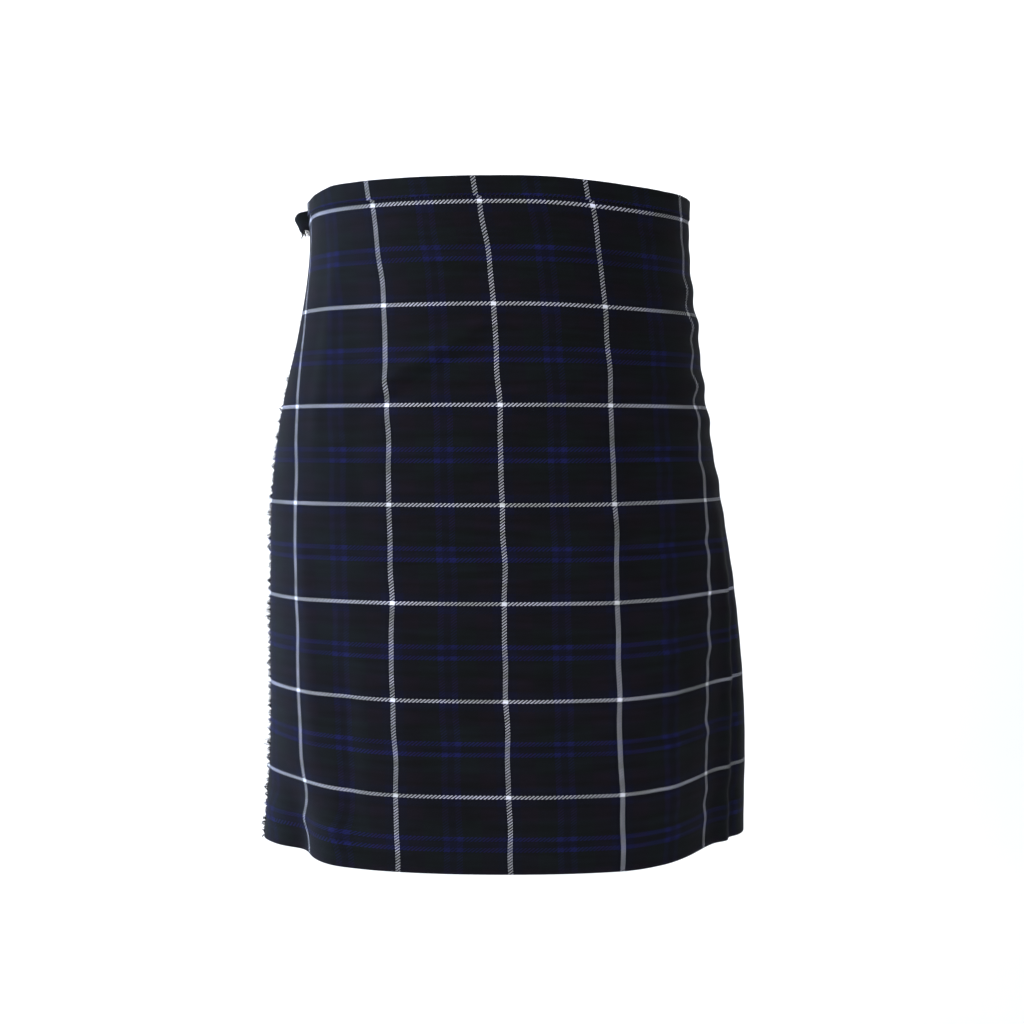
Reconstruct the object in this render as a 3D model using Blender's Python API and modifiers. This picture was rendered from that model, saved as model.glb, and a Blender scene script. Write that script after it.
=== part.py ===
"""A tartan kilt, standing in the round as it does when it is worn: open at the waist and at the hem, and empty.

The cloth is one long strip. It starts at the fringed edge on the wearer's right hip, crosses the front as the
outer apron, folds back at the left hip, runs round the back as knife pleats, and crosses the front again under
the outer apron. A waistband is folded over the top edge, and a strap and buckle behind each hip close it.

Metres, +Z up. The origin is the middle of the waist, half way down the waistband. The wearer faces -Y, so the
wearer's left is +X.
"""

import math

import bpy
import numpy as np

# Driving sizes
LENGTH = 0.612  # waist edge to hem
WAIST_DROP = 0.009  # the origin, below the waist edge
CLOTH = 0.0012  # thickness of the tartan
SEAM = 0.0003  # clearance between pieces that meet
BAND_HEIGHT = 0.018  # the waistband's own height
FRINGE = 0.008  # reach of the frayed edge

# The form that the cloth hangs on, a general figure. Each row is one level, counted down from the waist edge.
FORM_COLUMNS = ("drop", "half_width", "front", "back", "shift", "squareness")
FORM = (
    (0.000, 0.1770, 0.1190, 0.1020, 0.0005, 2.05),
    (0.055, 0.1785, 0.1200, 0.1080, 0.0005, 2.00),
    (0.130, 0.1880, 0.1220, 0.1270, -0.0010, 2.00),
    (0.190, 0.1975, 0.1250, 0.1390, -0.0040, 2.05),
    (0.295, 0.2105, 0.1240, 0.1490, -0.0015, 2.15),
    (0.355, 0.2150, 0.1230, 0.1520, 0.0030, 2.20),
    (0.430, 0.2190, 0.1220, 0.1550, 0.0065, 2.20),
    (0.500, 0.2205, 0.1200, 0.1570, 0.0085, 2.20),
    (0.612, 0.2215, 0.1160, 0.1600, 0.0065, 2.15),
)

# The outer apron's free edge: its angle from the front, and how far it stands off the form.
EDGE_COLUMNS = ("drop", "degrees", "stand_off")
EDGE = (
    (0.000, -98.0, 0.0040),
    (0.022, -98.0, 0.0040),
    (0.040, -98.0, 0.0035),
    (0.075, -97.0, 0.0025),
    (0.150, -93.5, 0.0015),
    (0.240, -88.0, 0.0025),
    (0.375, -85.0, 0.0035),
    (0.520, -84.5, 0.0035),
    (0.575, -85.5, 0.0050),
    (0.612, -86.5, 0.0070),
)
EDGE_CURL = 0.022  # how far in from the edge the cloth lifts

# How much lower a level hangs at the wearer's right and left: the waist tilts, and the hem is hitched up.
HANG_COLUMNS = ("drop", "right", "left", "sets_in")
HANG = (
    (0.000, 0.0000, 0.0060, 0.020),
    (0.110, 0.0000, 0.0030, 0.020),
    (0.220, 0.0000, 0.0000, 0.050),
    (0.375, 0.0000, -0.0050, 0.090),
    (0.460, -0.0035, -0.0095, 0.100),
    (0.545, -0.0085, -0.0120, 0.100),
    (0.612, -0.0090, -0.0120, 0.105),
)
HANG_RUN = 0.140  # further out than it sets in, the hang is whole

# The apron's largest folds: ridges, and troughs where the height is negative.
FOLD_COLUMNS = ("degrees_top", "degrees_hem", "starts", "full", "height", "half_width")
FOLDS = (
    (68.0, 62.0, 0.260, 0.580, -0.0140, 0.044),
    (93.0, 93.0, 0.240, 0.560, 0.0045, 0.032),
    (-60.0, -60.0, 0.520, 0.610, -0.0130, 0.021),
    (-42.0, -42.0, 0.520, 0.610, 0.0040, 0.022),
)

# Pleats
GROUPS = ("left", "back", "right")
GROUP_PLEATS = 8
PLEATS = GROUP_PLEATS * len(GROUPS)
LEFT_HIP = 98.0  # degrees from the front to the outer apron's folded edge
RIGHT_HIP = 290.0  # degrees, counted round the back, to the last pleat's edge
FOLD_STEPS = 2  # how many visible widths each pleat runs under its neighbours
LAYER_WAIST = 0.0016  # spacing of the pressed layers, middle to middle
LAYER_HEM = 0.0022
UNDER_APRON_ROOM = 0.0065  # how far the pleats drop in under the outer apron's free edge

# Straps and buckles
STRAP_DROP = 0.035  # middle of the straps, below the waist edge
STRAP_WIDTH = 0.024
STRAP_THICK = 0.0018
CHAPE_WIDTH = 0.022
CHAPE_THICK = 0.0012
HOLE = 0.0032
WIRE = 0.0012  # radius of the buckle's bars
PRONG = 0.0008  # radius of the prong
BUCKLE_LONG = 0.021  # heel bar to outer bar
BUCKLE_TALL = 0.031
BAR_HEIGHT = 0.0038  # middle of the bars above the cloth
LEFT_BUCKLE = 124.0  # degrees to the heel bar
RIGHT_BUCKLE = 233.0
CLEAR = 0.0019  # room between the straps and the pleats

# The strap's middle, from the end that is sewn on to the tip: along it from the heel bar, above the cloth, and
# its width as a share of the full width.
STRAP_COLUMNS = ("along", "height", "width")
STRAP = (
    (-0.0500, 0.0013, 1.00),
    (-0.0300, 0.0013, 1.00),
    (-0.0200, 0.0014, 1.00),
    (-0.0140, 0.0027, 1.00),
    (-0.0040, 0.0070, 1.00),
    (-0.0016, 0.0076, 1.00),
    (0.0016, 0.0076, 1.00),
    (0.0060, 0.0070, 1.00),
    (0.0124, 0.0062, 1.00),
    (0.0156, 0.0060, 1.00),
    (0.0264, 0.0060, 1.00),
    (0.0296, 0.0060, 1.00),
    (0.0400, 0.0060, 1.00),
    (0.0448, 0.0060, 0.92),
    (0.0482, 0.0060, 0.72),
    (0.0502, 0.0060, 0.42),
    (0.0508, 0.0060, 0.16),
)
STRAP_HOLES = (5, 8, 10)  # the rows whose middle cell is open

TURN = 360.0
LEVELS = (0.0018, 0.024, 0.070, 0.150, 0.240, 0.340, 0.440, 0.530, LENGTH)
APRON_STEPS = 32
INNER_END = TURN + 84.0  # degrees to the under apron's free edge


def smooth_table(rows, drop):
    """Every column of a table at a drop, along a smooth curve through its rows."""
    table = np.array(rows)
    at = table[:, 0]
    slope = np.gradient(table, at, axis=0)
    i = int(np.clip(np.searchsorted(at, drop) - 1, 0, len(at) - 2))
    span = at[i + 1] - at[i]
    u = np.clip((drop - at[i]) / span, 0.0, 1.0)
    rise = (1 + 2 * u) * (1 - u) ** 2 * table[i] + u * u * (3 - 2 * u) * table[i + 1]
    bend = u * (1 - u) ** 2 * slope[i] - u * u * (1 - u) * slope[i + 1]
    return rise + span * bend


def ramp(value, low, high):
    """0 up to low, 1 from high, and a smooth rise between."""
    u = np.clip((value - low) / (high - low), 0.0, 1.0)
    return u * u * (3 - 2 * u)


def hung(x, drop):
    """The drop with the cloth's tilt at the waist and its hitch at the hem, each for its own side."""
    table = np.array(HANG)
    right, left, sets_in = (np.interp(drop, table[:, 0], table[:, k]) for k in (1, 2, 3))
    whole = sets_in + HANG_RUN
    return drop + right * ramp(-x, sets_in, whole) + left * ramp(x, sets_in, whole)


class Level:
    """The form's outline at one drop, measured along its own length round the body."""

    def __init__(self, drop):
        _, wide, front, back, shift, square = smooth_table(FORM, drop)
        self.drop = drop
        self.degrees = np.arange(-TURN, 2 * TURN + 1.0)
        turn = np.radians(self.degrees)
        power = 2.0 / square
        side = np.sign(np.sin(turn)) * np.abs(np.sin(turn)) ** power
        ahead = np.sign(np.cos(turn)) * np.abs(np.cos(turn)) ** power
        depth = np.where(ahead > 0, front, back)
        self.line = np.stack([shift + wide * side, -depth * ahead], axis=1)
        steps = np.linalg.norm(np.diff(self.line, axis=0), axis=1)
        self.along = np.concatenate([[0.0], np.cumsum(steps)])
        self.along -= np.interp(0.0, self.degrees, self.along)
        way = np.gradient(self.line, axis=0)
        out = np.stack([way[:, 1], -way[:, 0]], axis=1)
        self.out = out / np.linalg.norm(out, axis=1)[:, None]

    def at(self, degrees):
        """Length round the body from the front to an angle."""
        return np.interp(degrees, self.degrees, self.along)

    def points(self, along, offset, drop=None):
        """Points on the outline at those lengths, moved out by those offsets."""
        along, offset = np.broadcast_arrays(along, offset)
        place = [np.interp(along, self.along, self.line[:, k]) for k in (0, 1)]
        out = np.stack([np.interp(along, self.along, self.out[:, k]) for k in (0, 1)], axis=-1)
        out /= np.linalg.norm(out, axis=-1)[..., None]
        flat = np.stack(place, axis=-1) + out * offset[..., None]
        level = np.broadcast_to(self.drop if drop is None else drop, along.shape)
        height = WAIST_DROP - hung(flat[..., 0], level)
        return np.concatenate([flat, height[..., None]], axis=-1)

    def fold(self):
        """Where the outer apron folds back, at the left hip."""
        return self.at(LEFT_HIP)

    def reveal(self):
        """The visible width of one pleat."""
        return (self.at(RIGHT_HIP) - self.at(LEFT_HIP)) / PLEATS

    def layer(self):
        """The spacing of the pleats' layers."""
        return LAYER_WAIST + (LAYER_HEM - LAYER_WAIST) * ramp(self.drop, 0.18, LENGTH)

    def stack(self):
        """How thick the pleats lie, from the outer layer's middle to the innermost one's."""
        return 2 * self.layer() * (FOLD_STEPS + 1)

    def pleat_base(self, along):
        """The pleats' outer edges against the form: level with it, but lower under the apron's free edge."""
        return -UNDER_APRON_ROOM * ramp(along, self.at(190.0), self.at(245.0))

    def folds(self, along):
        """The height of the apron's folds."""
        lift = np.zeros_like(along)
        for top, hem, starts, full, height, half_width in FOLDS:
            centre = self.at(top + (hem - top) * self.drop / LENGTH)
            grown = height * ramp(self.drop, starts, full)
            lift = lift + grown * np.exp(-(((along - centre) / half_width) ** 2))
        return lift

    def edge(self):
        """Where the outer apron's free edge is."""
        return self.at(smooth_table(EDGE, self.drop)[1])

    def apron_offset(self, along):
        """The outer apron's lift off the form: its folds and its standing edge."""
        stand_off = smooth_table(EDGE, self.drop)[2]
        return self.folds(along) + stand_off * np.exp(-(((along - self.edge()) / EDGE_CURL) ** 2))


def paint(name, colour, roughness, metallic=0.0):
    material = bpy.data.materials.new(name)
    material.use_nodes = True
    shader = material.node_tree.nodes["Principled BSDF"]
    shader.inputs["Base Color"].default_value = (*colour, 1.0)
    shader.inputs["Roughness"].default_value = roughness
    shader.inputs["Metallic"].default_value = metallic
    return material


def sheet(name, rows, material, collection, thick=CLOTH, holes=()):
    """An open surface through rows of points, thickened to a wall. Each cell is split along the diagonal that
    leans the same way in space, so that layers folded back on each other stay parallel."""
    grid = np.array(rows)
    tall, wide, _ = grid.shape
    corner = np.arange(tall * wide).reshape(tall, wide)
    turn = np.arctan2(grid[0, :, 0], -grid[0, :, 1])
    ahead = np.sin(np.diff(turn)) >= 0
    faces = []
    for i in range(tall - 1):
        for j in range(wide - 1):
            if (i, j) in holes:
                continue
            a, b = corner[i, j], corner[i, j + 1]
            c, d = corner[i + 1, j + 1], corner[i + 1, j]
            faces.extend([(a, d, c), (a, c, b)] if ahead[j] else [(a, d, b), (d, c, b)])
    mesh = bpy.data.meshes.new(name)
    mesh.from_pydata(grid.reshape(-1, 3).tolist(), [], faces)
    mesh.materials.append(material)
    thing = bpy.data.objects.new(name, mesh)
    collection.objects.link(thing)
    wall = thing.modifiers.new("Wall", "SOLIDIFY")
    wall.thickness = thick
    wall.offset = 0.0
    wall.use_even_offset = True
    return thing


def wire(name, points, radius, material, collection, closed=False):
    """A round bar along a line of points."""
    curve = bpy.data.curves.new(name, "CURVE")
    curve.dimensions = "3D"
    curve.bevel_depth = radius
    curve.bevel_resolution = 2
    curve.use_fill_caps = not closed
    line = curve.splines.new("POLY")
    line.points.add(len(points) - 1)
    for point, place in zip(line.points, points):
        point.co = (*place, 1.0)
    line.use_cyclic_u = closed
    curve.materials.append(material)
    thing = bpy.data.objects.new(name, curve)
    collection.objects.link(thing)
    return thing


def outer_apron(tartan, collection):
    """From the free edge across the front to the left hip, then folded back under itself."""
    rows = []
    for drop in LEVELS:
        level = Level(drop)
        reveal, layer = level.reveal(), level.layer()
        tucked = level.fold() - reveal * np.arange(FOLD_STEPS + 1)
        face = np.linspace(level.edge(), tucked[-1] - reveal, APRON_STEPS)
        face = np.concatenate([face, tucked[::-1]])
        along = np.concatenate([face, tucked])
        sink = 2 * layer * np.arange(FOLD_STEPS + 1) + layer
        offset = np.concatenate([level.apron_offset(face), -sink])
        rows.append(level.points(along, offset))
    sheet("outer_apron", rows, tartan, collection)


def apron_fringe(tartan, collection):
    """The reach of the frayed yarns along the free edge, below the waistband."""
    rows = []
    for drop in LEVELS[1:]:
        level = Level(drop)
        along = level.edge() - np.array([FRINGE, 2 * SEAM])
        rows.append(level.points(along, level.apron_offset(along)))
    sheet("apron_fringe", rows, tartan, collection)


def pleat_line(level, first, last):
    """Along and depth of knife pleats first to last: out to each edge, back under it, and out to the next."""
    reveal, layer = level.reveal(), level.layer()
    along, sink = [], []
    for pleat in range(first, last + 1):
        edge = level.fold() + pleat * reveal
        for step in range(FOLD_STEPS + 1, -1, -1):
            along.append(edge - step * reveal)
            sink.append(2 * layer * step)
        for step in range(FOLD_STEPS + 1):
            along.append(edge - step * reveal)
            sink.append(2 * layer * step + layer)
    return np.array(along), np.array(sink)


def pleats(tartan, collection):
    """Knife pleats, in three runs that end inside a fold."""
    for group, name in enumerate(GROUPS):
        rows = []
        for drop in LEVELS:
            level = Level(drop)
            along, sink = pleat_line(level, group * GROUP_PLEATS + 1, (group + 1) * GROUP_PLEATS)
            rows.append(level.points(along, level.pleat_base(along) - sink))
        sheet("pleats_" + name, rows, tartan, collection)


def under_offset(level, along):
    """The under apron's depth below the form: out from under the last pleat, close behind the outer apron,
    then in behind the left hip's folds."""
    last = level.at(RIGHT_HIP)
    step = (last + level.reveal() - along) / level.reveal()
    tucked = level.pleat_base(along) - 2 * level.layer() * step
    leaving = level.pleat_base(last) - 2 * level.layer()
    front, inside = -0.0062, -(level.stack() + 0.0066)
    run = leaving + (front - leaving) * ramp(along, last, last + 0.06)
    run = run + (inside - front) * ramp(along, level.at(TURN + 36.0), level.at(TURN + 56.0))
    run = run + np.minimum(level.folds(along - level.at(TURN)), 0.0) * 1.25
    return np.where(along <= last, tucked, run)


def under_line(level):
    last = level.at(RIGHT_HIP)
    hidden = last - level.reveal() * np.arange(FOLD_STEPS, 0, -1)
    return np.concatenate([hidden, np.linspace(last, level.at(INNER_END), 26)])


def under_apron(tartan, collection):
    rows = []
    for drop in LEVELS:
        level = Level(drop)
        along = under_line(level)
        rows.append(level.points(along, under_offset(level, along)))
    sheet("under_apron", rows, tartan, collection)


def band(name, along, outer, inner, tartan, collection):
    """A strip folded over the top edge. outer and inner are the middles of the layers that it holds, and it
    lies clear of both."""
    lap = CLOTH + SEAM + 0.0006
    rim = CLOTH / 2
    level = Level(BAND_HEIGHT / 2)
    rows = []
    over, under = outer + lap, inner - lap
    for drop, offset in ((BAND_HEIGHT, over), (rim, over), (rim, under), (BAND_HEIGHT, under)):
        rows.append(level.points(along, offset, drop=drop))
    sheet(name, rows, tartan, collection)


def waistband(tartan, collection):
    """Three lengths of one strip: over the outer apron, over the pleats and over the under apron."""
    level = Level(BAND_HEIGHT / 2)
    reveal = level.reveal()
    fold, last = level.fold(), level.at(RIGHT_HIP)
    end = 0.0016  # past the last fold's edge
    tucked = fold - reveal * np.arange(FOLD_STEPS, 0, -1)
    face = np.linspace(level.edge(), tucked[0] - 1.6 * reveal, APRON_STEPS)
    face = np.concatenate([face, [tucked[0] - 0.6 * reveal], tucked, [fold + end]])
    lift = level.apron_offset(face)
    deep = np.where(face > tucked[0] - reveal, -level.stack(), lift)
    band("waistband_front", face, lift, deep, tartan, collection)
    edges = fold + reveal * np.arange(PLEATS + 1)
    edges = np.concatenate([[fold + end + CLOTH + SEAM], edges[1:], [last + end]])
    base = level.pleat_base(edges)
    band("waistband_back", edges, base, base - level.stack(), tartan, collection)
    inner = np.linspace(last + end + CLOTH + SEAM, level.at(INNER_END), 26)
    sunk = under_offset(level, inner)
    band("waistband_under", inner, sunk, sunk, tartan, collection)


class Hip:
    """One hip's buckle: places along the strap, heights above the cloth, and heights up and down the body."""

    def __init__(self, side):
        self.level = Level(STRAP_DROP)
        self.right = side == "right"
        self.heel = self.level.at(RIGHT_BUCKLE if self.right else LEFT_BUCKLE)
        self.way = -1.0 if self.right else 1.0

    def ground(self, along):
        """The outside of the cloth under the strap."""
        base = self.level.pleat_base(along)
        if self.right:
            free = self.level.edge() + self.level.at(TURN)
            start, end = free - 0.020, free + 0.012
            base = base + 0.0075 * ramp(along, start, end)
        return base + CLOTH / 2 + CLEAR

    def points(self, run, height, up):
        run, height, up = np.broadcast_arrays(run, height, up)
        along = self.heel + self.way * run
        return self.level.points(along, self.ground(along) + height, drop=STRAP_DROP - up)


def strap(side, leather, collection):
    hip = Hip(side)
    rows = []
    for run, height, width in STRAP:
        up = np.array([-STRAP_WIDTH * width, -HOLE * width, HOLE * width, STRAP_WIDTH * width]) / 2
        rows.append(hip.points(run, height, up))
    holes = {(row, 1) for row in STRAP_HOLES}
    sheet("strap_" + side, rows, leather, collection, thick=STRAP_THICK, holes=holes)


def chape(side, leather, collection):
    """The tab that holds the buckle: folded round the heel bar, with a slot for the prong."""
    hip = Hip(side)
    bend = WIRE + SEAM + CHAPE_THICK / 2
    low = CHAPE_THICK / 2 + SEAM
    line = [(0.030, low), (0.012, low), (0.005, 0.5 * (low + BAR_HEIGHT - bend))]
    for degrees in range(-60, -301, -30):
        turn = math.radians(degrees)
        line.append((bend * math.cos(turn), BAR_HEIGHT + bend * math.sin(turn)))
    line += [(0.006, 0.0038), (0.012, low + CHAPE_THICK + SEAM), (0.030, low + CHAPE_THICK + SEAM)]
    up = np.array([-CHAPE_WIDTH, -HOLE, HOLE, CHAPE_WIDTH]) / 2
    rows = [hip.points(run, height, up) for run, height in line]
    holes = {(row, 1) for row in range(2, len(line) - 3)}
    sheet("buckle_tab_" + side, rows, leather, collection, thick=CHAPE_THICK, holes=holes)


def buckle(side, metal, collection):
    hip = Hip(side)
    corner = 0.004
    tall, near, far = BUCKLE_TALL / 2, 0.0, -BUCKLE_LONG
    line = []
    for centre_run, centre_up, start in (
        (near - corner, tall - corner, 0),
        (far + corner, tall - corner, 90),
        (far + corner, corner - tall, 180),
        (near - corner, corner - tall, 270),
    ):
        for step in range(5):
            turn = math.radians(start + 90 * step / 4)
            line.append((centre_run + corner * math.cos(turn), centre_up + corner * math.sin(turn)))
    points = [hip.points(run, BAR_HEIGHT, up).tolist() for run, up in line]
    wire("buckle_frame_" + side, points, WIRE, metal, collection, closed=True)
    grip = WIRE + SEAM + PRONG
    line = []
    for degrees in range(30, -181, -30):
        turn = math.radians(degrees)
        line.append((grip * math.cos(turn), BAR_HEIGHT + grip * math.sin(turn)))
    line += [(-0.0019, 0.0054), (-0.0002, 0.0064), (-0.0001, 0.0092), (-0.0022, 0.0103), (-0.0080, 0.0094)]
    line += [(-BUCKLE_LONG - 0.001, BAR_HEIGHT + WIRE + SEAM + PRONG + 0.0003)]
    points = [hip.points(run, height, 0.0).tolist() for run, height in line]
    wire("buckle_prong_" + side, points, PRONG, metal, collection)


def keeper(side, leather, collection):
    """A loop round the strap, next to the buckle."""
    hip = Hip(side)
    wide, tall = STRAP_WIDTH / 2 + 0.0012, STRAP_THICK / 2 + CHAPE_THICK / 2 + SEAM
    middle = 0.0060
    line = [(SEAM, -tall), (wide, -tall), (wide, tall), (-wide, tall), (-wide, -tall), (-SEAM, -tall)]
    run = np.array([0.0170, 0.0250])
    rows = [hip.points(run, middle + rise, up) for up, rise in line]
    sheet("strap_keeper_" + side, rows, leather, collection, thick=CHAPE_THICK)


def build():
    for thing in list(bpy.data.objects):
        bpy.data.objects.remove(thing, do_unlink=True)
    collection = bpy.data.collections.new("kilt")
    bpy.context.scene.collection.children.link(collection)
    tartan = paint("tartan", (0.010, 0.011, 0.018), 0.85)
    leather = paint("leather", (0.012, 0.010, 0.009), 0.45)
    metal = paint("buckle_metal", (0.62, 0.61, 0.58), 0.28, 1.0)
    outer_apron(tartan, collection)
    apron_fringe(tartan, collection)
    pleats(tartan, collection)
    under_apron(tartan, collection)
    waistband(tartan, collection)
    for side in ("left", "right"):
        strap(side, leather, collection)
        chape(side, leather, collection)
        keeper(side, leather, collection)
        buckle(side, metal, collection)


build()
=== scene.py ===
# %% [markdown]
# # A tartan kilt, worn round an empty waist
#
# The kilt stands in the round with nothing in it. Its cloth is one long strip of 2/2 twill: the outer
# apron crosses the front, the pleats go round the back, and the under apron crosses the front again inside.
# Each piece is a thin sheet laid over one smooth form by a formula, and the tartan is woven yarn by yarn in
# its material.

# %% The frame
import math

import bpy
import numpy as np
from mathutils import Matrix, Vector

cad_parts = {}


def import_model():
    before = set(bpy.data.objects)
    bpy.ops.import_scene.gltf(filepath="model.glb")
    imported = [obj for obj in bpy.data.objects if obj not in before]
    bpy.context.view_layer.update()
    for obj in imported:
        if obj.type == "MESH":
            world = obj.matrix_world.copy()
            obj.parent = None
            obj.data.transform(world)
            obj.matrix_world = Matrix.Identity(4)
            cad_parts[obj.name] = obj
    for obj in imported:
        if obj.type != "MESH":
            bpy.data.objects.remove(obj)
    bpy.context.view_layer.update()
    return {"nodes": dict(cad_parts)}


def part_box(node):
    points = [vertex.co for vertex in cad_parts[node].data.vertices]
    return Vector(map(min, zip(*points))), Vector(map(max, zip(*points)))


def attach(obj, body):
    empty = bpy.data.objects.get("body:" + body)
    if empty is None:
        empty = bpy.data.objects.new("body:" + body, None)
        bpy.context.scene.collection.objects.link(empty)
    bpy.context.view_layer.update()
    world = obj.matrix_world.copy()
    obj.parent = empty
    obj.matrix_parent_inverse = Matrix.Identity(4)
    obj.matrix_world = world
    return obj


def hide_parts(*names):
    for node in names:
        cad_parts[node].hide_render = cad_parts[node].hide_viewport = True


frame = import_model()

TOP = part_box("waistband_front")[1][2]
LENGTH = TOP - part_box("outer_apron")[0][2]
print(f"waist edge at {TOP * 1000:.1f} mm, kilt {LENGTH * 1000:.1f} mm long")

# %% [markdown]
# ## The form
#
# One table gives the outline at a few drops below the waist edge: a half width, a depth in front and behind,
# a shift to the wearer's left, and how square the oval is. A smooth curve runs through the rows. Places on
# the cloth are then given as a length along the outline from the front, a drop, and an offset outwards.
# A second table gives the outer apron's free edge, and a third how much lower each side hangs.

# %% The form's outline
FORM_COLUMNS = ("drop", "half_width", "front", "back", "shift", "squareness")
FORM = (
    (0.000, 0.1770, 0.1190, 0.1020, 0.0005, 2.05),
    (0.055, 0.1785, 0.1200, 0.1080, 0.0005, 2.00),
    (0.130, 0.1880, 0.1220, 0.1270, -0.0010, 2.00),
    (0.190, 0.1975, 0.1250, 0.1390, -0.0040, 2.05),
    (0.295, 0.2105, 0.1240, 0.1490, -0.0015, 2.15),
    (0.355, 0.2150, 0.1230, 0.1520, 0.0030, 2.20),
    (0.430, 0.2190, 0.1220, 0.1550, 0.0065, 2.20),
    (0.500, 0.2205, 0.1200, 0.1570, 0.0085, 2.20),
    (0.612, 0.2215, 0.1160, 0.1600, 0.0065, 2.15),
)
EDGE_COLUMNS = ("drop", "degrees", "stand_off")
EDGE = (
    (0.000, -98.0, 0.0062),
    (0.022, -98.0, 0.0058),
    (0.040, -98.0, 0.0042),
    (0.075, -97.0, 0.0025),
    (0.150, -93.5, 0.0015),
    (0.240, -88.0, 0.0025),
    (0.375, -85.0, 0.0035),
    (0.520, -84.5, 0.0035),
    (0.575, -85.5, 0.0050),
    (0.612, -86.5, 0.0070),
)
EDGE_CURL = 0.022
HANG_COLUMNS = ("drop", "right", "left", "sets_in")  # how much lower it hangs at the wearer's right and left
HANG = (
    (0.000, 0.0000, 0.0060, 0.020),
    (0.110, 0.0000, 0.0030, 0.020),
    (0.220, 0.0000, 0.0000, 0.050),
    (0.375, 0.0000, -0.0050, 0.090),
    (0.460, -0.0035, -0.0095, 0.100),
    (0.545, -0.0085, -0.0120, 0.100),
    (0.612, -0.0090, -0.0120, 0.105),
)
HANG_RUN = 0.140  # further out than it sets in, the hang is whole
CLOTH = 0.0010  # the sheets' thickness
GROUPS = ("left", "back", "right")
GROUP_PLEATS = 8
PLEATS = GROUP_PLEATS * len(GROUPS)
LEFT_HIP, RIGHT_HIP, INNER_END = 98.0, 290.0, 444.0
FOLD_STEPS = 2
LAYER_WAIST, LAYER_HEM = 0.0016, 0.0022  # from one layer of a pleat to the next
STITCHED_TO = 0.18  # the pleats start to open below this
UNDER_APRON_ROOM = 0.0065
DEGREES = np.arange(-360.0, 720.5, 0.5)


def smooth_table(rows, drop):
    """Every column of a table at many drops, along a smooth curve through its rows (cubic Hermite)."""
    table = np.array(rows, dtype=float)
    at = table[:, 0]
    slope = np.gradient(table, at, axis=0)
    drop = np.atleast_1d(drop)
    i = np.clip(np.searchsorted(at, drop) - 1, 0, len(at) - 2)
    span = (at[i + 1] - at[i])[:, None]
    u = np.clip((drop - at[i])[:, None] / span, 0.0, 1.0)
    rise = (1 + 2 * u) * (1 - u) ** 2 * table[i] + u * u * (3 - 2 * u) * table[i + 1]
    bend = u * (1 - u) ** 2 * slope[i] - u * u * (1 - u) * slope[i + 1]
    return (rise + span * bend).T


def ramp(value, low, high):
    """0 up to low, 1 from high, and a smooth rise between."""
    u = np.clip((value - low) / (high - low), 0.0, 1.0)
    return u * u * (3 - 2 * u)


def bump(value, centre, half_width):
    """A soft hill of height 1."""
    return np.exp(-(((value - centre) / half_width) ** 2))


RIM_SAG, RIM_SAG_ENDS = 0.0050, 0.018  # the waist edge is pulled down at the wearer's right
RIM_SAG_FROM, RIM_SAG_WHOLE = 0.148, 0.182  # distances out from the middle


def hung(x, drop):
    """The drop with the tilt at the waist and the hitch at the hem, each for its own side."""
    table = np.array(HANG)
    right, left, sets_in = (np.interp(drop, table[:, 0], table[:, k]) for k in (1, 2, 3))
    whole = sets_in + HANG_RUN
    near_rim = np.clip(1.0 - drop / RIM_SAG_ENDS, 0.0, 1.0)
    sag = RIM_SAG * ramp(-x, RIM_SAG_FROM, RIM_SAG_WHOLE) * near_rim
    return drop + right * ramp(-x, sets_in, whole) + left * ramp(x, sets_in, whole) + sag


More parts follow.
